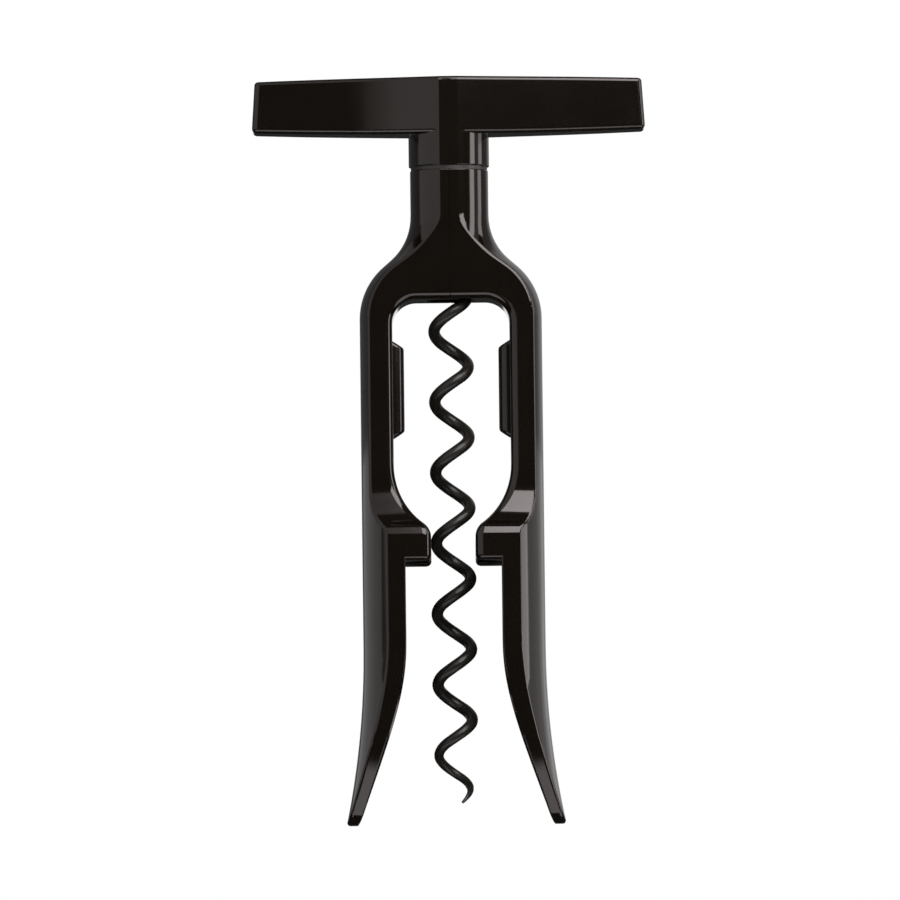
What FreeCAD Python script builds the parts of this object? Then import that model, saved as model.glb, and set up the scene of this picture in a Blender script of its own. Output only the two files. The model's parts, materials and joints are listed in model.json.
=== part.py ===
import FreeCAD, Part

import math
import os
import re

from FreeCAD import Placement, Rotation, Vector
import Sketcher

# Table corkscrew. Millimetres, +Z up, the front faces -Y.
# The origin lies on the worm's axis, level with the tips of the two legs.

# Driving dimensions, grouped by what they shape

SIZES = {
    # Frame, from the leg tips upward
    "leg_length": 58.0,
    "jaw_face_height": 5.5,
    "jaw_height": 9.1,
    "window_length": 58.2,
    "shoulder_drop": 4.0,
    "neck_length": 9.95,
    # Frame, outline seen from the front
    "cork_radius": 11.5,
    "cork_play": 1.47,
    "neck_radius": 8.66,
    "shoulder_run": 2.5,
    "shoulder_inner_radius": 13.0,
    "shoulder_angle": 48.9,
    "flare_start": 39.0,
    "flare_radius": 185.0,
    "arm_wall": 7.23,
    "window_corner_radius": 5.3,
    "funnel_radius": 16.8,
    "jaw_reach": 6.6,
    "jaw_tip_radius": 4.0,
    # Frame, outline seen from the side
    "body_half_depth": 8.42,
    "jaw_inset": 6.4,
    "ramp_radius": 10.9,
    "ledge_radius": 3.1,
    "taper_start": 42.0,
    "tip_half_width": 0.6,
    "tip_radius": 5.0,
    # Frame, walls and holes
    "leg_wall": 3.05,
    "tip_wall": 2.55,
    "bore_radius": 5.35,
    "bush_wall": 1.0,
    "bush_length": 9.0,
    "bush_lip": 1.2,
    "dowel_radius": 0.8,
    "dowel_length": 7.0,
    "dowel_above_window": 3.6,
    "dowel_below_bush": 4.6,
    "seat_clearance": 0.05,
    # Edge roundings
    "crease_round": 0.7,
    "window_round": 1.75,
    "leg_round": 0.25,
    "seat_round": 1.1,
    "joint_round": 0.25,
    "seam_bevel": 0.1,
    # Cork grips
    "grip_length": 21.6,
    "grip_height": 2.5,
    "grip_width": 5.0,
    "grip_ramp": 1.6,
    "grip_nose": 1.95,
    "grip_round": 0.8,
    "grip_drop": 8.9,
    "tongue_length": 17.0,
    "tongue_width": 3.0,
    "tongue_depth": 1.5,
    # Washer and hub
    "washer_thickness": 0.8,
    "washer_recess": 0.2,
    "running_clearance": 0.1,
    "spigot_length": 8.05,
    "washer_lip": 0.35,
    "hub_radius": 5.6,
    "block_width": 12.0,
    "block_depth": 10.0,
    "block_height": 8.6,
    "block_drop": 2.6,
    "hub_bevel": 0.5,
    "pin_radius": 1.5,
    "pin_length": 28.0,
    "pin_height": 5.9,
    "screw_radius": 1.5,
    "screw_socket": 0.75,
    "screw_height": 2.9,
    # Handle
    "stem_radius": 8.92,
    "stem_half_depth": 8.68,
    "stem_length": 7.05,
    "bar_height": 12.7,
    "bar_half_length": 43.6,
    "top_sag": 0.6,
    "bottom_sag": 0.75,
    "end_lean": 0.75,
    "wing_curve_end": 22.0,
    "wing_mid_half_depth": 5.9,
    "wing_end_half_depth": 4.8,
    "handle_wall": 2.2,
    "cavity_start": 15.0,
    "cavity_end_wall": 5.5,
    "cavity_depth": 2.9,
    "peg_radius": 1.1,
    "peg_length": 2.0,
    "peg_place": 11.0,
    "peg_level": 3.2,
    "bar_top_round": 0.8,
    "bar_bottom_round": 1.1,
    "bar_end_round": 1.2,
    "stem_rim_round": 0.25,
    # Worm
    "wire_radius": 1.3,
    "worm_radius": 3.74,
    "worm_pitch": 15.67,
    "tip_height": 4.82,
    "tip_angle": -62.0,
    "point_radius": 0.3,
    "taper_radius": 0.88,
    "point_turn": 180.0,
    "point_inset": 0.85,
    "transition_turn": 180.0,
    "transition_rise": 8.0,
    "shank_depth": 16.0,
    "shank_gap": 1.2,
}

# Levels and half-widths that follow from the driving dimensions

WINDOW_HALF_WIDTH = "(cork_radius + cork_play)"
ARM_RADIUS = f"({WINDOW_HALF_WIDTH} + arm_wall)"
JAW_HALF_GAP = "(cork_radius - jaw_reach)"
JAW_HALF_DEPTH = f"({ARM_RADIUS} - jaw_inset)"
SHOULDER_OUTER_RADIUS = f"(({ARM_RADIUS} - neck_radius - shoulder_run * sin(shoulder_angle))" \
    " / (1 - cos(shoulder_angle)) - shoulder_inner_radius)"
SHOULDER_BASE = "(leg_length + window_length - shoulder_drop)"
OUTER_ARC_TOP = f"({SHOULDER_BASE} + {SHOULDER_OUTER_RADIUS} * sin(shoulder_angle))"
INNER_ARC_BASE = f"({OUTER_ARC_TOP} + shoulder_run * cos(shoulder_angle))"
NECK_BASE = f"({INNER_ARC_BASE} + shoulder_inner_radius * sin(shoulder_angle))"
NECK_TOP = f"({NECK_BASE} + neck_length)"
WINDOW_TOP = "(leg_length + window_length)"
MARGIN = "2"
FLARED_FOOT = f"({ARM_RADIUS} + flare_radius - sqrt(flare_radius^2 - (flare_start + {MARGIN})^2))"
INNER_LEG_RADIUS = f"({ARM_RADIUS} - leg_wall)"
INNER_FOOT = f"({FLARED_FOOT} - tip_wall)"
INNER_SPREAD = f"({INNER_FOOT} - {INNER_LEG_RADIUS})"
INNER_FLARE_RADIUS = f"(((flare_start + {MARGIN})^2 + {INNER_SPREAD}^2) / (2 * {INNER_SPREAD}))"

RAMP_ANGLE = f"acos(1 - ({JAW_HALF_DEPTH} - body_half_depth) / (ramp_radius + ledge_radius))"
LEDGE_BASE = "(leg_length + jaw_face_height)"
RAMP_TOP = f"({LEDGE_BASE} + (ramp_radius + ledge_radius) * sin({RAMP_ANGLE}))"
TAPER_INSET = f"({JAW_HALF_DEPTH} - tip_half_width)"
TAPER_RADIUS = f"(({TAPER_INSET}^2 + (taper_start - tip_radius)^2 - tip_radius^2)" \
    f" / (2 * ({TAPER_INSET} - tip_radius)))"
TAPER_ANGLE = f"asin((taper_start - tip_radius) / ({TAPER_RADIUS} - tip_radius))"

TIP_DROP = "sqrt((funnel_radius + jaw_tip_radius)^2" \
    f" - ({JAW_HALF_GAP} + jaw_tip_radius - {WINDOW_HALF_WIDTH} + funnel_radius)^2)"
JAW_TIP_CENTRE = "(leg_length + jaw_height - jaw_tip_radius)"
FUNNEL_TOP = f"({JAW_TIP_CENTRE} + {TIP_DROP})"
FUNNEL_SHARE = "(funnel_radius / (funnel_radius + jaw_tip_radius))"

BUSH_TOP = f"({NECK_TOP} - bush_lip)"
BUSH_BASE = f"({BUSH_TOP} - bush_length)"
BUSH_RADIUS = "(bore_radius + bush_wall)"
DOWEL_DEPTH = "((bore_radius + body_half_depth) / 2)"
GRIP_MIDDLE = f"({WINDOW_TOP} - grip_drop - grip_length / 2)"

STEM_BASE = f"({NECK_TOP} + washer_thickness)"
BAR_BASE = f"({STEM_BASE} + stem_length)"
BAR_TOP = f"({BAR_BASE} + bar_height)"
SPIGOT_RADIUS = "(bore_radius - running_clearance)"
WASHER_BORE = f"({SPIGOT_RADIUS} - washer_lip + running_clearance)"
HUB_BASE = f"({NECK_TOP} - spigot_length)"
BLOCK_TOP = f"({BAR_TOP} - block_drop)"
BLOCK_BASE = f"({BLOCK_TOP} - block_height)"
PIN_LEVEL = f"({BLOCK_BASE} + pin_height)"
SCREW_LEVEL = f"({STEM_BASE} + screw_height)"
PEG_LEVEL = f"({BAR_BASE} + peg_level)"
STEM_FLAT = "sqrt(stem_radius^2 - stem_half_depth^2)"
SHANK_BORE = "(wire_radius + seat_clearance)"
SHANK_TOP = f"({HUB_BASE} + shank_depth)"

# How near a point lies to a plane to count as on it, and the shortest length that counts

HAIR = 0.01
TINY = 1e-6

# Document and its sheet of sizes

doc = FreeCAD.newDocument("table_corkscrew")
sheet = doc.addObject("Spreadsheet::Sheet", "Sizes")
for row, (alias, number) in enumerate(SIZES.items(), start=1):
    sheet.set(f"A{row}", alias)
    sheet.set(f"B{row}", str(number))
    sheet.setAlias(f"B{row}", alias)
doc.recompute()


def bound(text):
    """The expression with each size read from the sheet."""
    return re.sub(r"[a-z_]+", lambda word: sheet_name(word.group()), str(text))


def sheet_name(word):
    return f"Sizes.{word}" if word in SIZES else word


def value(text):
    """The number that an expression on the sheet gives now."""
    return float(sheet.evalExpression(bound(text)))


# Sketch helpers

def new_body(label):
    body = doc.addObject("PartDesign::Body", label)
    body.Label = label
    return body


def new_sketch(body, name, role, level=None):
    """An empty sketch on one of the body's origin planes, moved along its normal to a level."""
    plane = next(item for item in body.Origin.OriginFeatures if item.Role == role)
    sketch = body.newObject("Sketcher::SketchObject", name)
    sketch.AttachmentSupport = [(plane, "")]
    sketch.MapMode = "FlatFace"
    if level is not None:
        sketch.setExpression("AttachmentOffset.Base.z", bound(level))
    return sketch


def pin_point(sketch, geometry, end, across, up):
    """Hold one end of a line or arc, or a circle's centre, at two bound coordinates."""
    for kind, text in (("DistanceX", across), ("DistanceY", up)):
        index = sketch.addConstraint(Sketcher.Constraint(kind, -1, 1, geometry, end, value(text)))
        sketch.setExpression(f"Constraints[{index}]", bound(text))


def bind_radius(sketch, geometry, text):
    index = sketch.addConstraint(Sketcher.Constraint("Radius", geometry, value(text)))
    sketch.setExpression(f"Constraints[{index}]", bound(text))


def arc_between(start, end, radius, turn):
    """The short arc from start to end that turns left or right."""
    chord = end - start
    half = chord.Length / 2
    side = Vector(-chord.y, chord.x, 0).normalize()
    reach = math.sqrt(max(radius * radius - half * half, 0))
    centre = start + chord * 0.5 + side * (reach if turn == "left" else -reach)
    first, last = (start, end) if turn == "left" else (end, start)
    begin = math.atan2(first.y - centre.y, first.x - centre.x)
    finish = math.atan2(last.y - centre.y, last.x - centre.x)
    circle = Part.Circle(centre, Vector(0, 0, 1), radius)
    return Part.ArcOfCircle(circle, begin, finish)


def outline(body, name, role, steps, level=None):
    """A closed outline. Each step is a corner, and after it, if an arc leads there, radius and turn."""
    sketch = new_sketch(body, name, role, level)
    corners = [Vector(value(step[0]), value(step[1]), 0) for step in steps]
    ends = []
    for index, step in enumerate(steps):
        start = corners[index - 1]
        end = corners[index]
        if len(step) == 2:
            geometry = sketch.addGeometry(Part.LineSegment(start, end), False)
            ends.append((geometry, 1, 2))
            continue
        geometry = sketch.addGeometry(arc_between(start, end, value(step[2]), step[3]), False)
        bind_radius(sketch, geometry, step[2])
        ends.append((geometry, 1, 2) if step[3] == "left" else (geometry, 2, 1))
    for index, step in enumerate(steps):
        geometry, _, last = ends[index]
        following, first, _ = ends[(index + 1) % len(steps)]
        sketch.addConstraint(Sketcher.Constraint("Coincident", geometry, last, following, first))
        pin_point(sketch, geometry, last, step[0], step[1])
    return sketch


def circles(body, name, role, radius, centres, level=None):
    """Equal circles at bound centres."""
    sketch = new_sketch(body, name, role, level)
    for across, up in centres:
        middle = Vector(value(across), value(up), 0)
        geometry = sketch.addGeometry(Part.Circle(middle, Vector(0, 0, 1), value(radius)), False)
        bind_radius(sketch, geometry, radius)
        pin_point(sketch, geometry, 3, across, up)
    return sketch


def box_outline(body, name, role, left, right, low, high, level=None):
    steps = [(left, low), (right, low), (right, high), (left, high)]
    return outline(body, name, role, steps, level)


# Feature helpers

def feature(body, kind, name, sketch):
    made = body.newObject(f"PartDesign::{kind}", name)
    made.Profile = sketch
    sketch.Visibility = False
    return made


def extruded(body, kind, name, sketch, length, both_ways=False, backward=False):
    """A Pad or Pocket of a bound length. Backward turns it to the other side of the sketch."""
    made = feature(body, kind, name, sketch)
    made.setExpression("Length", bound(length))
    made.Midplane = both_ways
    made.Reversed = backward
    return made


def turned(body, kind, name, sketch):
    """A Revolution or Groove all the way round the sketch's upright axis."""
    made = feature(body, kind, name, sketch)
    made.ReferenceAxis = (sketch, ["V_Axis"])
    made.Angle = 360
    return made


def is_sharp(shape, edge, middle, least_turn=0.15):
    """Whether the two faces at an edge meet at an angle, in radians."""
    faces = shape.ancestorsOfType(edge, Part.Face)
    if len(faces) != 2:
        return False
    normals = [face.normalAt(*face.Surface.parameter(middle)) for face in faces]
    return normals[0].getAngle(normals[1]) > least_turn


def sharp_edges(shape, test):
    """Names of the sharp edges whose middle point passes a test."""
    names = []
    for index, edge in enumerate(shape.Edges, start=1):
        if edge.Length < TINY:
            continue
        middle = edge.valueAt(edge.getParameterByLength(edge.Length / 2))
        if test(middle) and is_sharp(shape, edge, middle):
            names.append(f"Edge{index}")
    return names


def dressed(body, kind, name, size, test):
    """Round (Fillet) or bevel (Chamfer) those sharp edges of the body that pass a test."""
    doc.recompute()
    base = body.Tip
    made = body.newObject(f"PartDesign::{kind}", name)
    made.Base = (base, sharp_edges(base.Shape, test))
    made.setExpression("Radius" if kind == "Fillet" else "Size", bound(size))
    return made


def level_with(number, text):
    return abs(number - value(text)) < HAIR


def mirrored(label, source):
    """The same piece on the other side of the middle plane."""
    twin = doc.addObject("Part::Mirroring", label)
    twin.Label = label
    twin.Source = source
    twin.Normal = Vector(1, 0, 0)
    return twin


# Frame half: the right one is made feature by feature, the left one mirrors it

def frame_side_outline(body):
    """Neck, arm, ramp, jaw and tapering leg, seen along X, front and back alike."""
    convex = f"(body_half_depth + ramp_radius * (1 - cos({RAMP_ANGLE})))"
    convex_level = f"({RAMP_TOP} - ramp_radius * sin({RAMP_ANGLE}))"
    tip_side = f"(tip_half_width + tip_radius * cos({TAPER_ANGLE}))"
    tip_level = f"(tip_radius * (1 - sin({TAPER_ANGLE})))"
    back = [
        ("tip_half_width", "0"),
        (tip_side, tip_level, "tip_radius", "left"),
        (JAW_HALF_DEPTH, "taper_start", TAPER_RADIUS, "left"),
        (JAW_HALF_DEPTH, LEDGE_BASE),
        (convex, convex_level, "ledge_radius", "left"),
        ("body_half_depth", RAMP_TOP, "ramp_radius", "right"),
        ("body_half_depth", NECK_TOP),
    ]
    front = []
    for index, step in enumerate(back):
        curve = back[index + 1][2:] if index + 1 < len(back) else ()
        front.append((f"-{step[0]}", step[1], *curve))
    return outline(body, "side_outline", "YZ_Plane", back + front[::-1])


def frame_front_waste(body):
    """What lies outside the turned outline of neck, shoulder, arm and flared leg."""
    slope_half_width = "(neck_radius + shoulder_inner_radius * (1 - cos(shoulder_angle)))"
    arc_half_width = f"({ARM_RADIUS} - {SHOULDER_OUTER_RADIUS} * (1 - cos(shoulder_angle)))"
    foot = f"-{MARGIN}"
    outside = f"({ARM_RADIUS} + {JAW_HALF_DEPTH} * 2)"
    return outline(body, "front_waste", "XZ_Plane", [
        (outside, foot),
        (outside, f"{NECK_TOP} + {MARGIN}"),
        ("neck_radius", f"{NECK_TOP} + {MARGIN}"),
        ("neck_radius", NECK_BASE),
        (slope_half_width, INNER_ARC_BASE, "shoulder_inner_radius", "left"),
        (arc_half_width, OUTER_ARC_TOP),
        (ARM_RADIUS, SHOULDER_BASE, SHOULDER_OUTER_RADIUS, "right"),
        (ARM_RADIUS, "flare_start"),
        (FLARED_FOOT, foot, "flare_radius", "left"),
    ])


def bottle_space(body):
    """The round space between the thinning legs, up to the seat that rests on the bottle."""
    foot = f"-{MARGIN}"
    return outline(body, "bottle_space", "XZ_Plane", [
        ("0", foot),
        (INNER_FOOT, foot),
        (INNER_LEG_RADIUS, "flare_start", INNER_FLARE_RADIUS, "right"),
        (INNER_LEG_RADIUS, "leg_length"),
        ("0", "leg_length"),
    ])


def window_outline(body):
    """The cork's window, its funnel and the gap between the jaws, from the middle outward."""
    tip_across = f"({JAW_HALF_GAP} + jaw_tip_radius)"
    funnel_centre = f"({WINDOW_HALF_WIDTH} - funnel_radius)"
    meet_across = f"({funnel_centre} + ({tip_across} - {funnel_centre}) * {FUNNEL_SHARE})"
    meet_level = f"({FUNNEL_TOP} - {TIP_DROP} * {FUNNEL_SHARE})"
    past_middle = f"-{JAW_HALF_GAP}"
    past_seat = "leg_length / 2"
    return outline(body, "window_outline", "XZ_Plane", [
        (past_middle, past_seat),
        (JAW_HALF_GAP, past_seat),
        (JAW_HALF_GAP, JAW_TIP_CENTRE),
        (meet_across, meet_level, "jaw_tip_radius", "right"),
        (WINDOW_HALF_WIDTH, FUNNEL_TOP, "funnel_radius", "left"),
        (WINDOW_HALF_WIDTH, f"{WINDOW_TOP} - window_corner_radius"),
        (f"{WINDOW_HALF_WIDTH} - window_corner_radius", WINDOW_TOP, "window_corner_radius", "left"),
        (past_middle, WINDOW_TOP),
    ])


def dowel_centres():
    """Front and back, low in the crossbar and high in the neck."""
    low = f"({WINDOW_TOP} + dowel_above_window)"
    high = f"({BUSH_BASE} - dowel_below_bush)"
    return [(f"{sign}{DOWEL_DEPTH}", level) for level in (low, high) for sign in ("", "-")]


def make_frame_half(label):
    body = new_body(label)
    through = f"{JAW_HALF_DEPTH} * 4"
    extruded(body, "Pad", "side_pad", frame_side_outline(body), f"{ARM_RADIUS} + {JAW_HALF_DEPTH}")
    turned(body, "Groove", "outside_turning", frame_front_waste(body))
    turned(body, "Groove", "bottle_turning", bottle_space(body))
    extruded(body, "Pocket", "window", window_outline(body), through, both_ways=True)

    cork = circles(body, "cork_circle", "XY_Plane", "cork_radius", [("0", "0")], FUNNEL_TOP)
    extruded(body, "Pocket", "cork_hole", cork, f"{FUNNEL_TOP} - leg_length / 2")
    bore = circles(body, "bore_circle", "XY_Plane", "bore_radius", [("0", "0")], NECK_TOP)
    extruded(body, "Pocket", "neck_bore", bore, f"{NECK_TOP} - leg_length")

    round_frame(body)

    seat = box_outline(body, "bush_seat", "XZ_Plane", "0", BUSH_RADIUS, BUSH_BASE, BUSH_TOP)
    turned(body, "Groove", "bush_groove", seat)
    slot = box_outline(
        body, "grip_slot", "XZ_Plane", f"{WINDOW_HALF_WIDTH} / 2", f"{WINDOW_HALF_WIDTH} + tongue_depth",
        f"{GRIP_MIDDLE} - tongue_length / 2", f"{GRIP_MIDDLE} + tongue_length / 2")
    extruded(body, "Pocket", "grip_seat", slot, "tongue_width", both_ways=True)
    dowels = circles(body, "dowel_circles", "YZ_Plane", "dowel_radius", dowel_centres())
    depth = "dowel_length / 2 + seat_clearance"
    extruded(body, "Pocket", "dowel_holes", dowels, depth, backward=True)
    return body


def round_frame(body):
    """Soft outer creases, window, seat, legs and neck top, in the order in which they build."""
    half_depth = value("body_half_depth")
    seat = value("leg_length")
    window = value(WINDOW_HALF_WIDTH)
    window_top = value(WINDOW_TOP)

    def leg_middle(level):
        """Half-width of the middle of the leg's wall at a level."""
        drop = max(value("flare_start") - level, 0)
        surfaces = ((ARM_RADIUS, "flare_radius"), (INNER_LEG_RADIUS, INNER_FLARE_RADIUS))
        widths = [value(top) + value(arc) - math.sqrt(value(arc) ** 2 - drop ** 2) for top, arc in surfaces]
        return sum(widths) / 2

    def outer_crease(point):
        beside = abs(point.y) > half_depth - HAIR or point.z < seat
        below_top = point.z < value(NECK_TOP) - HAIR
        above_window = point.z > window_top + HAIR
        outside = math.hypot(point.x, point.y) > leg_middle(point.z) or above_window
        inner_limit = HAIR if above_window else window + HAIR
        return point.x > inner_limit and beside and below_top and outside

    def window_edge(point):
        on_side = abs(point.y) > half_depth - HAIR and HAIR < point.x < window + HAIR
        return on_side and seat + HAIR < point.z < window_top + HAIR

    def inner_leg_edge(point):
        return point.z < seat - HAIR and math.hypot(point.x, point.y) < leg_middle(point.z)

    def seat_edge(point):
        inside = math.hypot(point.x, point.y) < value(INNER_LEG_RADIUS) - HAIR
        return level_with(point.z, "leg_length") and (inside or abs(point.y) > value("cork_radius"))

    def neck_rim(point):
        outside = math.hypot(point.x, point.y) > value(BUSH_RADIUS) + HAIR
        return level_with(point.z, NECK_TOP) and outside and point.x > HAIR

    def seam(point):
        return abs(point.x) < HAIR and abs(point.y) > half_depth - HAIR

    dressed(body, "Fillet", "crease_rounding", "crease_round", outer_crease)
    dressed(body, "Fillet", "window_rounding", "window_round", window_edge)
    dressed(body, "Fillet", "seat_rounding", "seat_round", seat_edge)
    dressed(body, "Fillet", "leg_rounding", "leg_round", inner_leg_edge)
    dressed(body, "Fillet", "neck_rim_rounding", "joint_round", neck_rim)
    dressed(body, "Chamfer", "seam_bevelling", "seam_bevel", seam)


def make_frame_dowels(label):
    """Four equal pins across the seam."""
    pins = []
    for index, (depth, level) in enumerate(dowel_centres()):
        pin = doc.addObject("Part::Cylinder", f"dowel_{index}")
        pin.setExpression("Radius", bound("dowel_radius - seat_clearance"))
        pin.setExpression("Height", bound("dowel_length"))
        pin.Placement = Placement(Vector(), Rotation(Vector(0, 1, 0), 90))
        pin.setExpression("Placement.Base.x", bound("-dowel_length / 2"))
        pin.setExpression("Placement.Base.y", bound(depth))
        pin.setExpression("Placement.Base.z", bound(level))
        pins.append(pin)
    return grouped(label, pins)


def grouped(label, members):
    group = doc.addObject("Part::Compound", label)
    group.Label = label
    group.Links = members
    return group


def make_neck_bush(label):
    body = new_body(label)
    wall = box_outline(
        body, "bush_wall_outline", "XZ_Plane", "bore_radius", f"{BUSH_RADIUS} - seat_clearance",
        f"{BUSH_BASE} + seat_clearance", f"{BUSH_TOP} - seat_clearance")
    turned(body, "Revolution", "bush_turning", wall)
    return body


# Cork grip: a round-nosed rib that holds the drawn cork, let into the arm by a tongue

def make_cork_grip(label):
    body = new_body(label)
    face = WINDOW_HALF_WIDTH
    crest = f"({face} - grip_height)"
    past_crest = f"({crest} - {MARGIN})"
    foot = f"({GRIP_MIDDLE} - grip_length / 2)"
    head = f"({GRIP_MIDDLE} + grip_length / 2)"
    plan = outline(body, "rib_plan", "XY_Plane", [
        (face, "-grip_width / 2"),
        (face, "grip_width / 2"),
        (f"{crest} + grip_nose", "grip_width / 2"),
        (crest, "grip_width / 2 - grip_nose", "grip_nose", "left"),
        (crest, "-(grip_width / 2 - grip_nose)"),
        (f"{crest} + grip_nose", "-grip_width / 2", "grip_nose", "left"),
    ], foot)
    extruded(body, "Pad", "rib", plan, "grip_length")
    for name, end, inward, outward in (("head", head, "-", "+"), ("foot", foot, "+", "-")):
        ramp = outline(body, f"{name}_ramp_outline", "XZ_Plane", [
            (face, end),
            (crest, f"{end} {inward} grip_ramp"),
            (past_crest, f"{end} {inward} grip_ramp"),
            (past_crest, f"{end} {outward} {MARGIN}"),
            (face, f"{end} {outward} {MARGIN}"),
        ])
        extruded(body, "Pocket", f"{name}_ramp", ramp, "grip_width * 2", both_ways=True)

    def ramp_edge(point):
        return point.x < value(face) - HAIR

    dressed(body, "Fillet", "ramp_rounding", "grip_round", ramp_edge)
    tongue = box_outline(
        body, "tongue_outline", "XZ_Plane", f"{crest} + grip_height / 2",
        f"{face} + tongue_depth - seat_clearance",
        f"{GRIP_MIDDLE} - tongue_length / 2 + seat_clearance",
        f"{GRIP_MIDDLE} + tongue_length / 2 - seat_clearance")
    extruded(body, "Pad", "tongue", tongue, "tongue_width - 2 * seat_clearance", both_ways=True)
    return body


# Washer and hub

def make_thrust_washer(label):
    """A slippery ring between the neck and the stem. It snaps over the hub's spigot."""
    body = new_body(label)
    ring = box_outline(
        body, "ring_outline", "XZ_Plane", WASHER_BORE, "neck_radius - washer_recess",
        NECK_TOP, STEM_BASE)
    turned(body, "Revolution", "ring", ring)
    return body


def make_worm_hub(label):
    """Spigot in the neck, groove for the washer, core of the stem and square block above."""
    body = new_body(label)
    groove = f"({WASHER_BORE} - running_clearance)"
    spigot_top = f"({NECK_TOP} - running_clearance)"
    core = outline(body, "core_outline", "XZ_Plane", [
        ("0", HUB_BASE),
        (f"{SPIGOT_RADIUS} - hub_bevel", HUB_BASE),
        (SPIGOT_RADIUS, f"{HUB_BASE} + hub_bevel"),
        (SPIGOT_RADIUS, spigot_top),
        (groove, spigot_top),
        (groove, STEM_BASE),
        ("hub_radius", STEM_BASE),
        ("hub_radius", f"{BLOCK_BASE} + hub_bevel"),
        ("0", f"{BLOCK_BASE} + hub_bevel"),
    ])
    turned(body, "Revolution", "core", core)
    block = box_outline(
        body, "block_outline", "XZ_Plane", "-block_width / 2", "block_width / 2",
        BLOCK_BASE, BLOCK_TOP)
    extruded(body, "Pad", "block", block, "block_depth", both_ways=True)

    shank = circles(body, "shank_circle", "XY_Plane", SHANK_BORE, [("0", "0")], HUB_BASE)
    depth = f"{SHANK_TOP} - {HUB_BASE} + seat_clearance"
    extruded(body, "Pocket", "shank_hole", shank, depth, backward=True)
    pin = circles(body, "pin_circle", "YZ_Plane", "pin_radius + seat_clearance", [("0", PIN_LEVEL)])
    extruded(body, "Pocket", "pin_hole", pin, "block_width * 2", both_ways=True)
    screw = circles(body, "screw_circle", "YZ_Plane", "screw_radius", [("0", SCREW_LEVEL)])
    extruded(body, "Pocket", "screw_holes", screw, "hub_radius * 3", both_ways=True)
    return body


def make_torque_pin(label):
    """The cross pin that carries the turn from the wings to the hub."""
    pin = doc.addObject("Part::Cylinder", label)
    pin.Label = label
    pin.setExpression("Radius", bound("pin_radius"))
    pin.setExpression("Height", bound("pin_length"))
    pin.Placement = Placement(Vector(), Rotation(Vector(0, 1, 0), 90))
    pin.setExpression("Placement.Base.x", bound("-pin_length / 2"))
    pin.setExpression("Placement.Base.z", bound(PIN_LEVEL))
    return pin


def make_set_screws(label):
    """Two headless screws with hexagon sockets that press on the worm's shank."""
    screws = []
    for side in (1, -1):
        across = "" if side == 1 else "-"
        turn = Rotation(Vector(0, 1, 0), 90 * side)
        shank = doc.addObject("Part::Cylinder", "screw_shank")
        shank.setExpression("Radius", bound("screw_radius - seat_clearance"))
        shank.setExpression("Height", bound("hub_radius - wire_radius - 2 * seat_clearance"))
        shank.Placement = Placement(Vector(), turn)
        shank.setExpression("Placement.Base.x", bound(f"{across}(wire_radius + seat_clearance)"))
        shank.setExpression("Placement.Base.z", bound(SCREW_LEVEL))
        socket = doc.addObject("Part::Prism", "screw_socket")
        socket.Polygon = 6
        socket.setExpression("Circumradius", bound("screw_socket"))
        socket.setExpression("Height", bound("hub_radius"))
        socket.Placement = Placement(Vector(), turn)
        socket.setExpression("Placement.Base.x", bound(f"{across}(hub_radius / 2 + wire_radius)"))
        socket.setExpression("Placement.Base.z", bound(SCREW_LEVEL))
        screw = doc.addObject("Part::Cut", "screw")
        screw.Base = shank
        screw.Tool = socket
        screws.append(screw)
    return grouped(label, screws)


# Handle: two shells that meet on the middle plane of the bar

def flipped(steps):
    """The same steps on the other side of the sketch's upward axis."""
    turns = {"left": "right", "right": "left"}
    return [(x, f"-({y})", *([curve[0], turns[curve[1]]] if curve else [])) for x, y, *curve in steps]


def bar_outline(body):
    """The bar from the front: bowed top and bottom, ends that lean in toward the top."""
    low = f"({BAR_BASE} + bottom_sag)"
    high = f"({BAR_TOP} - top_sag)"
    high_reach = "(bar_half_length - end_lean)"
    low_radius = "((bar_half_length^2 + bottom_sag^2) / (2 * bottom_sag))"
    high_radius = f"(({high_reach}^2 + top_sag^2) / (2 * top_sag))"
    return outline(body, "bar_outline", "XZ_Plane", [
        ("-bar_half_length", low),
        ("bar_half_length", low, low_radius, "left"),
        (high_reach, high),
        (f"-{high_reach}", high, high_radius, "left"),
    ])


def wing_waste(body, back):
    """What lies in front of the wings' faces, from above: flat middle, hollow curve, straight end."""
    reach = f"(bar_half_length + {MARGIN})"
    front = f"-(stem_half_depth + 2 * {MARGIN})"
    rise = "(stem_half_depth - wing_mid_half_depth)"
    run = f"(wing_curve_end - {STEM_FLAT})"
    slope = "((wing_mid_half_depth - wing_end_half_depth) / (bar_half_length - wing_curve_end))"
    turn = f"(atan({rise} / {run}) - atan({slope}))"
    radius = f"(sqrt({rise}^2 + {run}^2) / (2 * sin({turn})))"
    end = f"-(wing_end_half_depth - {slope} * {MARGIN})"
    steps = [
        (f"-{reach}", front),
        (reach, front),
        (reach, end),
        ("wing_curve_end", "-wing_mid_half_depth"),
        (STEM_FLAT, "-stem_half_depth", radius, "left"),
        (f"-{STEM_FLAT}", "-stem_half_depth"),
        ("-wing_curve_end", "-wing_mid_half_depth", radius, "left"),
        (f"-{reach}", end),
    ]
    return outline(body, "wing_waste", "XY_Plane", flipped(steps) if back else steps)


def stem_outline(body):
    """The round stem in section, with its softened lower rim, up into the bar."""
    top = f"({BAR_BASE} + handle_wall)"
    return outline(body, "stem_outline", "XZ_Plane", [
        ("0", STEM_BASE),
        ("stem_radius - stem_rim_round", STEM_BASE),
        ("stem_radius", f"{STEM_BASE} + stem_rim_round", "stem_rim_round", "left"),
        ("stem_radius", top),
        ("0", top),
    ])


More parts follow.
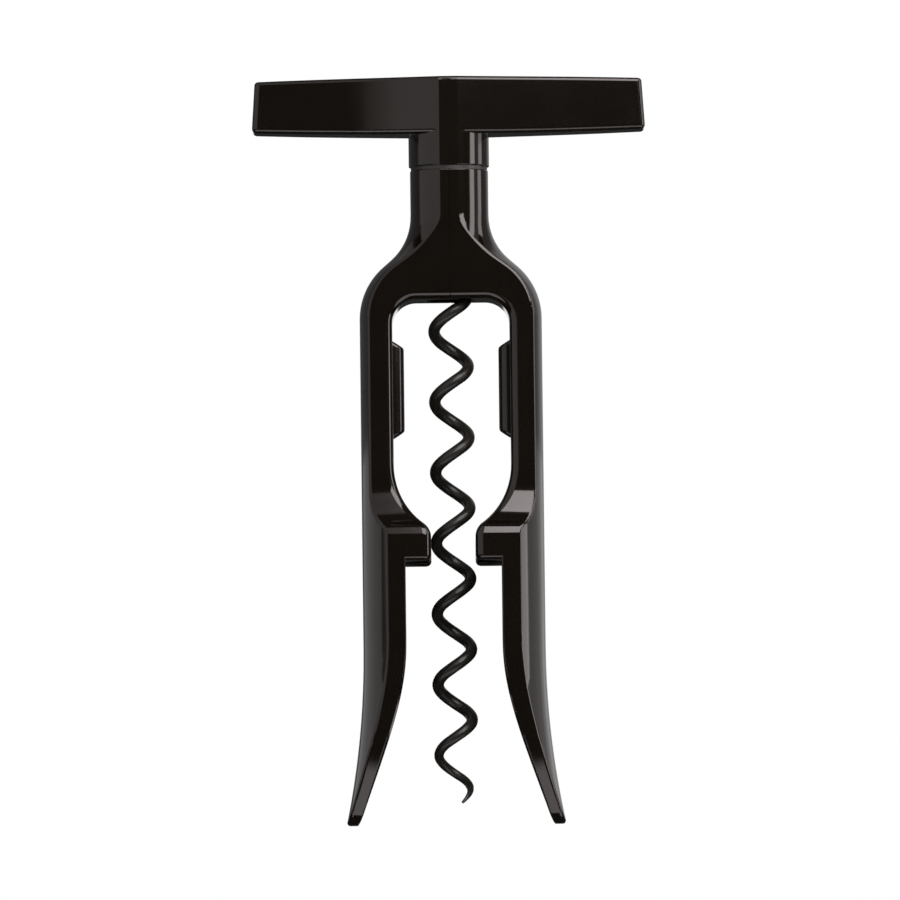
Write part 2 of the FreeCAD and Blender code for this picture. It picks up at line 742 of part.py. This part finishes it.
def stem_flat_waste(body, back):
    """What lies in front of the narrow flat that runs on from the bar down the stem."""
    face = "stem_half_depth"
    past = f"(stem_half_depth + 2 * {MARGIN})"
    low, high = (face, past) if back else (f"-{past}", f"-{face}")
    return box_outline(body, "flat_waste", "XY_Plane", "-stem_radius", "stem_radius", low, high)


def peg_centres():
    near = [(f"{sign}peg_place", PEG_LEVEL) for sign in ("", "-")]
    far_place = "(bar_half_length - end_lean - cavity_end_wall / 2)"
    far = [(f"{sign}{far_place}", f"({BAR_BASE} + bar_height / 2)") for sign in ("", "-")]
    return near + far


def make_handle_shell(label, back):
    body = new_body(label)
    past_top = f"2 * {BAR_TOP} + {MARGIN}"
    extruded(body, "Pad", "bar", bar_outline(body), f"stem_half_depth + {MARGIN}", backward=back)
    extruded(body, "Pocket", "wings", wing_waste(body, back), past_top, both_ways=True)
    round_bar(body, back)
    stem = turned(body, "Revolution", "stem", stem_outline(body))
    stem.Angle = 180
    stem.Reversed = not back
    extruded(body, "Pocket", "stem_flat", stem_flat_waste(body, back), past_top, both_ways=True)
    hollow_handle(body, back)
    return body


def round_bar(body, back):
    """The upright edges at the ends, then the upper and lower edges, front and ends together."""
    side = 1 if back else -1
    middle = value(BAR_BASE) + value("bar_height") / 2
    reach = value("bar_height") / 4
    end = value("bar_half_length") - value("end_lean") - HAIR

    def outer(point):
        return point.y * side > HAIR

    def upright_end(point):
        return outer(point) and abs(point.x) > end and abs(point.z - middle) < reach

    def upper(point):
        return outer(point) and point.z > middle + reach

    def lower(point):
        return outer(point) and point.z < middle - reach

    dressed(body, "Fillet", "end_rounding", "bar_end_round", upright_end)
    dressed(body, "Fillet", "top_rounding", "bar_top_round", upper)
    dressed(body, "Fillet", "bottom_rounding", "bar_bottom_round", lower)


def hollow_handle(body, back):
    """Cavities in the wings, and seats for the hub, its block, the torque pin and the pegs."""
    toward = not back
    low = f"({BAR_BASE} + bottom_sag + handle_wall)"
    high = f"({BAR_TOP} - top_sag - handle_wall)"
    for sign in ("", "-"):
        inner = f"{sign}cavity_start"
        outer = f"{sign}(bar_half_length - end_lean - cavity_end_wall)"
        left, right = (inner, outer) if sign == "" else (outer, inner)
        cavity = box_outline(body, "cavity_outline", "XZ_Plane", left, right, low, high)
        extruded(body, "Pocket", "cavity", cavity, "cavity_depth", backward=toward)

    core = box_outline(
        body, "core_seat", "XZ_Plane", "0", "hub_radius + seat_clearance",
        f"{STEM_BASE} - {MARGIN}", BLOCK_BASE)
    turned(body, "Groove", "core_hole", core)
    block = box_outline(
        body, "block_seat", "XZ_Plane", "-(block_width / 2 + seat_clearance)",
        "block_width / 2 + seat_clearance", f"{BLOCK_BASE} - seat_clearance",
        f"{BLOCK_TOP} + seat_clearance")
    extruded(body, "Pocket", "block_hole", block, "block_depth + 2 * seat_clearance", both_ways=True)
    pin = circles(body, "pin_seat", "YZ_Plane", "pin_radius + seat_clearance", [("0", PIN_LEVEL)])
    extruded(body, "Pocket", "pin_channel", pin, "pin_length + 2 * seat_clearance", both_ways=True)

    if back:
        pegs = circles(body, "peg_circles", "XZ_Plane", "peg_radius - seat_clearance", peg_centres())
        extruded(body, "Pad", "pegs", pegs, "peg_length")
    else:
        holes = circles(body, "peg_holes", "XZ_Plane", "peg_radius", peg_centres())
        depth = "peg_length + seat_clearance"
        extruded(body, "Pocket", "peg_sockets", holes, depth, backward=toward)


# Worm: one wire from its ground point, up the open helix, to the straight shank in the hub

def biarc(start, start_way, end, end_way):
    """Two arcs from start to end that keep both directions and meet smoothly."""
    chord = end - start
    ways = start_way + end_way
    square = 2 * (1 - start_way.dot(end_way))
    across = chord.dot(ways)
    if square < TINY:
        reach = chord.dot(chord) / (2 * across)
    else:
        reach = (math.sqrt(across ** 2 + square * chord.dot(chord)) - across) / square
    first = start + start_way * reach
    last = end - end_way * reach
    middle = (first + last) * 0.5
    return [tangent_arc(start, first, middle), tangent_arc(middle, last, end)]


def tangent_arc(start, corner, end):
    """The arc from start to end whose tangents there cross at the corner, or a straight run."""
    halfway = (start + end) * 0.5
    half_chord = (end - start).Length / 2
    height = (corner - halfway).Length
    if height < TINY:
        return Part.LineSegment(start, end).toShape()
    bulge = half_chord * math.tan(math.atan2(height, half_chord) / 2)
    return Part.Arc(start, halfway + (corner - halfway) * (bulge / height), end).toShape()


def worm_stations():
    """Points and directions, a quarter turn apart or less: point, helix, then the run in to the axis."""
    radius = value("worm_radius")
    rise = value("worm_pitch") / 360
    tip_angle = value("tip_angle")
    tip_level = value("tip_height")
    helix_top = value(HUB_BASE) - value("shank_gap") - value("transition_rise")
    turned_through = (helix_top - tip_level) / rise
    spans = math.ceil(turned_through / 90)
    points = []
    for index in range(spans + 1):
        so_far = turned_through * index / spans
        share = max(1 - so_far / value("point_turn"), 0)
        inset = value("point_inset") * share * share * (3 - 2 * share)
        widening = value("point_inset") * 6 * share * (1 - share) / value("point_turn")
        level = tip_level + rise * so_far
        points.append(worm_place(tip_angle + so_far, radius - inset, widening, level, rise))
    last_angle = tip_angle + turned_through
    for share in (0.25, 0.5, 0.75, 1):
        eased = share * share * (3 - 2 * share)
        easing = 6 * share * (1 - share) / value("transition_turn")
        turn_angle = last_angle + value("transition_turn") * share
        level = helix_top + value("transition_rise") * share
        climb = value("transition_rise") / value("transition_turn")
        points.append(worm_place(turn_angle, radius * (1 - eased), -radius * easing, level, climb))
    return points


def worm_place(turn_angle, radius, widening, level, climb):
    """A point on the worm and its direction, from the radius and the rates per degree of turn."""
    angle = math.radians(turn_angle)
    outward = Vector(math.cos(angle), math.sin(angle), 0)
    around = Vector(-math.sin(angle), math.cos(angle), 0)
    way = outward * widening + around * (radius * math.pi / 180) + Vector(0, 0, climb)
    return outward * radius + Vector(0, 0, level), way.normalize()


def pipe(edges, start_radius, end_radius):
    """A round tube along the edges, even or tapering."""
    def ring(point, way, radius):
        return Part.Wire(Part.Circle(point, way, radius).toShape())

    first, last = edges[0], edges[-1]
    start = ring(first.valueAt(first.FirstParameter), first.tangentAt(first.FirstParameter), start_radius)
    end = ring(last.valueAt(last.LastParameter), last.tangentAt(last.LastParameter), end_radius)
    rings = [start] if start_radius == end_radius else [start, end]
    return Part.Wire(edges).makePipeShell(rings, True, False)


def make_worm(label):
    stations = worm_stations()
    spans = []
    for (start, start_way), (end, end_way) in zip(stations, stations[1:]):
        spans.append(biarc(start, start_way, end, end_way))
    top = stations[-1][0]
    shank = Part.LineSegment(top, Vector(0, 0, value(SHANK_TOP))).toShape()
    wire_radius = value("wire_radius")
    taper_radius = value("taper_radius")
    point = pipe(spans[0], value("point_radius"), taper_radius)
    taper = pipe([edge for span in spans[1:5] for edge in span], taper_radius, wire_radius)
    path = [edge for span in spans[5:] for edge in span] + [shank]
    wire = pipe(path, wire_radius, wire_radius)
    worm = doc.addObject("Part::Feature", label)
    worm.Label = label
    worm.Shape = wire.fuse([taper, point]).removeSplitter()
    worm.Placement = Placement()
    report_worm(path, wire)
    return worm


def report_worm(path, wire):
    """Print the wire's tightest bend, its least gap to itself and its volume against length."""
    bends = [edge.Curve.Radius for edge in path if hasattr(edge.Curve, "Radius")]
    along = 0.0
    samples = []
    for edge in path:
        for share in (0, 1 / 3, 2 / 3):
            spot = edge.valueAt(edge.getParameterByLength(edge.Length * share))
            samples.append((along + edge.Length * share, spot))
        along += edge.Length
    apart = 4 * value("wire_radius")
    gap = min(
        (first - second).Length
        for low, first in samples for high, second in samples if high - low > apart)
    expected = math.pi * value("wire_radius") ** 2 * along
    print(f"worm tightest bend {min(bends):.2f} mm")
    print(f"worm least gap to itself {gap - 2 * value('wire_radius'):.2f} mm")
    print(f"worm volume {wire.Volume:.1f}, section times length {expected:.1f}")


# The pieces

frame_right = make_frame_half("frame_right_half")
grip_right = make_cork_grip("cork_grip_right")
pieces = [
    frame_right,
    mirrored("frame_left_half", frame_right),
    make_frame_dowels("frame_dowels"),
    make_neck_bush("neck_bush"),
    grip_right,
    mirrored("cork_grip_left", grip_right),
    make_thrust_washer("thrust_washer"),
    make_worm_hub("worm_hub"),
    make_torque_pin("torque_pin"),
    make_set_screws("worm_set_screws"),
    make_handle_shell("handle_front_shell", back=False),
    make_handle_shell("handle_rear_shell", back=True),
    make_worm("worm"),
]
doc.recompute()

# Check every object, then write each piece

failed = [item.Name for item in doc.Objects if {"Invalid", "Error"} & set(item.State)]
for piece in pieces:
    shape = piece.Shape
    if shape.isNull() or not shape.isValid():
        failed.append(piece.Label)
    print(f"{piece.Label}: {len(shape.Solids)} solids, {shape.Volume:.1f} mm3")
if failed:
    raise RuntimeError(f"failed: {failed}")

os.makedirs("parts", exist_ok=True)
for piece in pieces:
    piece.Shape.exportStep(os.path.join("parts", f"{piece.Label}.step"))
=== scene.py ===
import json
import math

import bpy
from mathutils import Matrix, Vector

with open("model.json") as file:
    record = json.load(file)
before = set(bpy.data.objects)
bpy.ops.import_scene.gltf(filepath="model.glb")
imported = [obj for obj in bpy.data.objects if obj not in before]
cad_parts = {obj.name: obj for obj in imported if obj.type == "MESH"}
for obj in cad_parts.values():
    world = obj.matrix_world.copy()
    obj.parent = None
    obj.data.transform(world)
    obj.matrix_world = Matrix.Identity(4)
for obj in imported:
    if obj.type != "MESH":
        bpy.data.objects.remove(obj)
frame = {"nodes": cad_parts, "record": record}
bpy.context.view_layer.update()

MM = 0.001


# Materials

# The part of a noise's range that holds most of its values
MOST = (0.3, 0.7)


class Nodes:
    """The node tree of a material or world, with short calls for the nodes it needs."""

    def __init__(self, owner, output):
        self.owner = owner
        owner.use_nodes = True
        self.tree = owner.node_tree
        self.tree.nodes.clear()
        self.output = self.tree.nodes.new("ShaderNode" + output)

    def add(self, kind, **settings):
        node = self.tree.nodes.new("ShaderNode" + kind)
        for key, value in settings.items():
            setattr(node, key, value)
        return node

    def link(self, source, target):
        self.tree.links.new(source, target)

    def place(self, scale=(1, 1, 1)):
        """Object coordinates in metres, stretched if asked."""
        mapping = self.add("Mapping")
        mapping.inputs["Scale"].default_value = scale
        self.link(self.add("TexCoord").outputs["Object"], mapping.inputs["Vector"])
        return mapping.outputs["Vector"]

    def noise(self, size, detail=2.0, roughness=0.5, stretch=(1, 1, 1)):
        """Noise whose grains are about this size in metres."""
        node = self.add("TexNoise")
        node.inputs["Scale"].default_value = 1 / size
        node.inputs["Detail"].default_value = detail
        node.inputs["Roughness"].default_value = roughness
        self.link(self.place(stretch), node.inputs["Vector"])
        return node.outputs["Fac"]

    def ramp(self, source, low, high, first=0.0, last=1.0):
        """Map source from low..high to first..last, held at the ends."""
        node = self.add("MapRange")
        node.inputs["From Min"].default_value = low
        node.inputs["From Max"].default_value = high
        node.inputs["To Min"].default_value = first
        node.inputs["To Max"].default_value = last
        self.link(source, node.inputs["Value"])
        return node.outputs["Result"]

    def combine(self, first, second, operation="ADD"):
        """A Math node on two values, each a socket or a number."""
        node = self.add("Math", operation=operation)
        for source, socket in zip((first, second), node.inputs):
            if isinstance(source, (int, float)):
                socket.default_value = source
            else:
                self.link(source, socket)
        return node.outputs["Value"]

    def within(self, source, low, high, soft):
        """1 between low and high, 0 outside, with sides that fade over this width."""
        rise = self.ramp(source, low - soft / 2, low + soft / 2)
        fall = self.ramp(source, high - soft / 2, high + soft / 2, 1.0, 0.0)
        return self.combine(rise, fall, "MULTIPLY")

    def blend(self, factor, first, second):
        """A mix of two colours, each a socket or a tuple."""
        node = self.add("Mix", data_type="RGBA")
        self.link(factor, node.inputs["Factor"])
        for colour, socket in ((first, node.inputs["A"]), (second, node.inputs["B"])):
            if isinstance(colour, tuple):
                socket.default_value = (*colour, 1)
            else:
                self.link(colour, socket)
        return node.outputs["Result"]

    def bump(self, height, depth, under=None):
        """A bump of this real depth in metres."""
        node = self.add("Bump")
        node.inputs["Strength"].default_value = 1.0
        node.inputs["Distance"].default_value = depth
        self.link(height, node.inputs["Height"])
        if under is not None:
            self.link(under, node.inputs["Normal"])
        return node.outputs["Normal"]

    def finish(self, shader):
        self.link(shader, self.output.inputs["Surface"])
        return self.owner


def material_nodes(name):
    return Nodes(bpy.data.materials.new(name), "OutputMaterial")


def moulded_plastic(name, deep, light, gloss, peel, scuff):
    """Polished injection-moulded plastic.

    It has faint mottling, rubbed patches, hairline marks, finger smudges and orange peel.
    """
    nodes = material_nodes(name)
    shader = nodes.add("BsdfPrincipled")
    mottle = nodes.ramp(nodes.noise(9 * MM, detail=3), *MOST)
    rubbed = nodes.ramp(nodes.noise(1.4 * MM, detail=4, roughness=0.7), 0.6, 0.72)
    worn = tuple(channel * 1.2 for channel in light)
    body = nodes.blend(rubbed, nodes.blend(mottle, deep, light), worn)
    nodes.link(body, shader.inputs["Base Color"])
    hairs = nodes.ramp(nodes.noise(0.5 * MM, 2, 0.6, stretch=(1, 1, 0.08)), 0.62, 0.74)
    smudge = nodes.ramp(nodes.noise(14 * MM, roughness=0.6), 0.4, 0.75, 0, scuff)
    rough = nodes.combine(gloss, nodes.combine(hairs, scuff * 0.6, "MULTIPLY"))
    rough = nodes.combine(rough, smudge)
    rough = nodes.combine(rough, nodes.combine(rubbed, scuff * 0.4, "MULTIPLY"))
    nodes.link(rough, shader.inputs["Roughness"])
    peel_bump = nodes.bump(nodes.noise(1.6 * MM, 1), peel)
    nodes.link(nodes.bump(hairs, -0.0004 * MM, peel_bump), shader.inputs["Normal"])
    shader.inputs["IOR"].default_value = 1.7
    shader.inputs["Specular Tint"].default_value = (1.0, 0.92, 0.91, 1)
    return nodes.finish(shader.outputs["BSDF"])


def satin_coat(name, colour, gloss):
    """A baked slippery coat or paint on metal: cloudy colour and a fine pebbled grain."""
    nodes = material_nodes(name)
    shader = nodes.add("BsdfPrincipled")
    cloud = nodes.ramp(nodes.noise(3 * MM, detail=3), *MOST)
    lighter = tuple(channel * 1.6 + 0.003 for channel in colour)
    nodes.link(nodes.blend(cloud, colour, lighter), shader.inputs["Base Color"])
    grain = nodes.noise(0.12 * MM, 2)
    rough = nodes.ramp(grain, *MOST, gloss - 0.05, gloss + 0.08)
    nodes.link(rough, shader.inputs["Roughness"])
    nodes.link(nodes.bump(grain, 0.004 * MM), shader.inputs["Normal"])
    shader.inputs["IOR"].default_value = 1.5
    return nodes.finish(shader.outputs["BSDF"])


def machined_metal(name, colour, gloss, across):
    """Ground or turned metal with fine lines that run across this axis."""
    nodes = material_nodes(name)
    shader = nodes.add("BsdfPrincipled")
    stretch = tuple(1.0 if axis == across else 0.06 for axis in "XYZ")
    lines = nodes.noise(0.25 * MM, 3, 0.6, stretch)
    dull = tuple(channel * 0.7 for channel in colour)
    body = nodes.blend(nodes.ramp(lines, *MOST), dull, colour)
    nodes.link(body, shader.inputs["Base Color"])
    nodes.link(nodes.ramp(lines, *MOST, gloss, gloss + 0.15), shader.inputs["Roughness"])
    nodes.link(nodes.bump(lines, 0.003 * MM), shader.inputs["Normal"])
    shader.inputs["Metallic"].default_value = 1.0
    return nodes.finish(shader.outputs["BSDF"])


# The photographed plastic is a black with a slight brown cast
BLACK = (0.0051, 0.0033, 0.0019)
BLACK_LIGHT = (0.006, 0.004, 0.0024)
STEEL = (0.55, 0.55, 0.57)

finishes = {
    "frame_shell": moulded_plastic(
        "frame_plastic", BLACK, BLACK_LIGHT, gloss=0.08, peel=0.001 * MM, scuff=0.03),
    "handle_shell": moulded_plastic(
        "handle_plastic", BLACK, BLACK_LIGHT, gloss=0.08, peel=0.001 * MM, scuff=0.03),
    "grip_plastic": moulded_plastic(
        "grip_plastic", BLACK, BLACK_LIGHT, gloss=0.16, peel=0.002 * MM, scuff=0.05),
    "bush_plastic": moulded_plastic(
        "bush_plastic", (0.03, 0.03, 0.03), (0.04, 0.04, 0.04),
        gloss=0.4, peel=0.004 * MM, scuff=0.1),
    "washer_plastic": moulded_plastic(
        "washer_plastic", (0.012, 0.011, 0.01), (0.02, 0.018, 0.016),
        gloss=0.35, peel=0.004 * MM, scuff=0.1),
    "hub_metal": satin_coat("hub_paint", (0.012, 0.011, 0.01), 0.4),
    "dowel_steel": machined_metal("dowel_steel", STEEL, 0.2, "X"),
    "pin_steel": machined_metal("pin_steel", STEEL, 0.2, "X"),
    "screw_steel": machined_metal("screw_steel", (0.09, 0.085, 0.08), 0.35, "X"),
    "worm_coat": satin_coat("worm_coat", (0.011, 0.009, 0.007), 0.3),
}
slots = {row["node"]: row["material_slot"] for row in frame["record"]["subparts"]}
for node, piece in frame["nodes"].items():
    piece.material_slots[0].material = finishes[slots[node]]


# Stage: a pale floor that shows from above only, and a studio that is white for the camera.
# The world holds the light panels. The key light and the two low cards are lamps.

FLOOR_RADIUS = 0.5
FLOOR_SIDES = 96
FLOOR_DROP = 0.02 * MM
FLOOR_COLOUR = (0.86, 0.86, 0.86, 1)

# Each panel: first and last azimuth, lowest and highest elevation, level, fade of its sides.
# Azimuth 0 is the camera's side and grows toward the right. All angles are in degrees.
# The last panel lies low in front: it lights the window's top and the tips of the legs.
PANELS = [
    (-98, -9, -14, 19, 0.13, 1.5),
    (-98, -13, -14, 19, 0.3, 8),
    (-95, 0, 19, 73, 0.38, 3),
    (-180, -98, 1.5, 30, 0.08, 3),
    (-180, -125, 30, 55, 0.18, 6),
    (64, 79.5, -14, 60, 2.8, 2),
    (82, 92, -14, 60, 0.2, 2),
    (94, 109, -14, 60, 1.8, 2),
    (110, 180, 1.5, 50, 0.1, 3),
    (143, 180, 1.5, 50, 0.3, 16),
    (-60, 95, -66, -34, 1.1, 4),
]
PANEL_END_FADE = 3
DIM_LEVEL = 0.03

# The white part of the backdrop that the gloss shows, straight behind the object, in degrees
BACKDROP_WIDTH = 16
BACKDROP_LOW = 0.6
BACKDROP_TOP = 30
BACKDROP_FADE = 0.4

# The key light's left side stands in the middle plane, so it lights the right ramp and not the left
KEY_WIDTH = 0.6
KEY_HEIGHT = 0.64
KEY_LEVEL = 3.8
KEY_PLACE = (KEY_WIDTH / 2, -0.474, 0.51)
KEY_TARGET = (KEY_WIDTH / 2, 0, 0.091)

# A low card on each side, behind the object, faces its legs
CARDS = [("left_low_card", -130), ("right_low_card", 130)]
CARD_DISTANCE = 0.5
CARD_HEIGHT = 0.065
CARD_SIZE = (0.5, 0.1)
CARD_LEVEL = 0.3


def round_floor(radius, sides):
    """A paper disc under the object. Its underside is clear, so it hides nothing from below."""
    mesh = bpy.data.meshes.new("floor")
    rim = [
        (radius * math.cos(math.tau * side / sides), radius * math.sin(math.tau * side / sides), 0)
        for side in range(sides)]
    mesh.from_pydata(rim, [], [list(range(sides))])
    floor = bpy.data.objects.new("floor", mesh)
    floor.location.z = -FLOOR_DROP
    bpy.context.scene.collection.objects.link(floor)
    nodes = material_nodes("floor_paper")
    paper = nodes.add("BsdfDiffuse")
    paper.inputs["Color"].default_value = FLOOR_COLOUR
    clear = nodes.add("BsdfTransparent")
    mix = nodes.add("MixShader")
    nodes.link(nodes.add("NewGeometry").outputs["Backfacing"], mix.inputs["Fac"])
    nodes.link(paper.outputs["BSDF"], mix.inputs[1])
    nodes.link(clear.outputs["BSDF"], mix.inputs[2])
    mesh.materials.append(nodes.finish(mix.outputs["Shader"]))
    # The legs' fronts lean over the floor and are black in the photograph, so the gloss omits it
    floor.visible_glossy = False


def studio():
    """Light panels for the object, and white for the camera and straight behind the object."""
    nodes = Nodes(bpy.data.worlds.new("studio"), "OutputWorld")
    bpy.context.scene.world = nodes.owner
    way = nodes.add("SeparateXYZ")
    nodes.link(nodes.add("TexCoord").outputs["Generated"], way.inputs["Vector"])
    across, depth, height = way.outputs
    to_degrees = 180 / math.pi
    azimuth = nodes.combine(across, nodes.combine(depth, -1, "MULTIPLY"), "ARCTAN2")
    azimuth = nodes.combine(azimuth, to_degrees, "MULTIPLY")
    elevation = nodes.combine(nodes.combine(height, 0, "ARCSINE"), to_degrees, "MULTIPLY")
    level = DIM_LEVEL
    for first, last, low, high, strength, fade in PANELS:
        panel = nodes.combine(nodes.within(azimuth, first, last, fade),
                              nodes.within(elevation, low, high, PANEL_END_FADE), "MULTIPLY")
        level = nodes.combine(nodes.combine(panel, strength, "MULTIPLY"), level)
    behind = nodes.combine(depth, math.cos(math.radians(BACKDROP_WIDTH / 2)), "GREATER_THAN")
    band = nodes.within(elevation, BACKDROP_LOW, BACKDROP_TOP, BACKDROP_FADE)
    backdrop = nodes.combine(behind, band, "MULTIPLY")
    path = nodes.add("LightPath").outputs
    mirrored = nodes.combine(path["Is Glossy Ray"], path["Is Transmission Ray"], "MAXIMUM")
    mirrored = nodes.combine(mirrored, backdrop, "MULTIPLY")
    white = nodes.combine(path["Is Camera Ray"], mirrored, "MAXIMUM")
    background = nodes.add("Background")
    background.inputs["Color"].default_value = (1, 1, 1, 1)
    lit = nodes.combine(level, nodes.combine(1, white, "SUBTRACT"), "MULTIPLY")
    nodes.link(nodes.combine(lit, white), background.inputs["Strength"])
    nodes.finish(background.outputs["Background"])


def softbox(name, centre, toward, width, height, level):
    """A lamp that faces a point, with its lower side level. The camera doesn't see it."""
    lamp = bpy.data.lights.new(name, "AREA")
    lamp.shape = "RECTANGLE"
    lamp.size = width
    lamp.size_y = height
    lamp.energy = level * math.pi * width * height
    piece = bpy.data.objects.new(name, lamp)
    piece.location = centre
    away = Vector(centre) - Vector(toward)
    piece.rotation_euler = away.to_track_quat("Z", "Y").to_euler()
    piece.visible_camera = False
    bpy.context.scene.collection.objects.link(piece)


def beside(azimuth, distance, height):
    """A place at this distance from the object's axis."""
    turn = math.radians(azimuth)
    return (math.sin(turn) * distance, -math.cos(turn) * distance, height)


round_floor(FLOOR_RADIUS, FLOOR_SIDES)
studio()
softbox("key_light", KEY_PLACE, KEY_TARGET, KEY_WIDTH, KEY_HEIGHT, KEY_LEVEL)
for name, azimuth in CARDS:
    softbox(name, beside(azimuth, CARD_DISTANCE, CARD_HEIGHT), (0, 0, CARD_HEIGHT),
            *CARD_SIZE, CARD_LEVEL)


# Camera: a long lens a little below the middle of the object, turned as in the photograph

DISTANCE = 4.0
ELEVATION = math.radians(-3.7)
ROLL = math.radians(-0.68)
PHOTO_WIDTH = 900  # pixels
PIXELS_PER_MM = 4.515
FRAME_WIDTH = PHOTO_WIDTH / PIXELS_PER_MM * MM
AIM = (-0.5 * MM, 0, 83.1 * MM)
SENSOR_WIDTH = 36
CLIP_START = 0.1
CLIP_END = 50

camera_data = bpy.data.cameras.new("camera")
camera = bpy.data.objects.new("camera", camera_data)
bpy.context.scene.collection.objects.link(camera)
bpy.context.scene.camera = camera
camera_data.sensor_width = SENSOR_WIDTH
camera_data.lens = SENSOR_WIDTH * DISTANCE / FRAME_WIDTH
camera_data.clip_start = CLIP_START
camera_data.clip_end = CLIP_END
aim = Vector(AIM)
away = Vector((0, -math.cos(ELEVATION), math.sin(ELEVATION)))
turned = away.to_track_quat("Z", "Y").to_matrix().to_4x4() @ Matrix.Rotation(ROLL, 4, "Z")
camera.matrix_world = Matrix.Translation(aim + away * DISTANCE) @ turned

bpy.context.scene.view_settings.view_transform = "Standard"
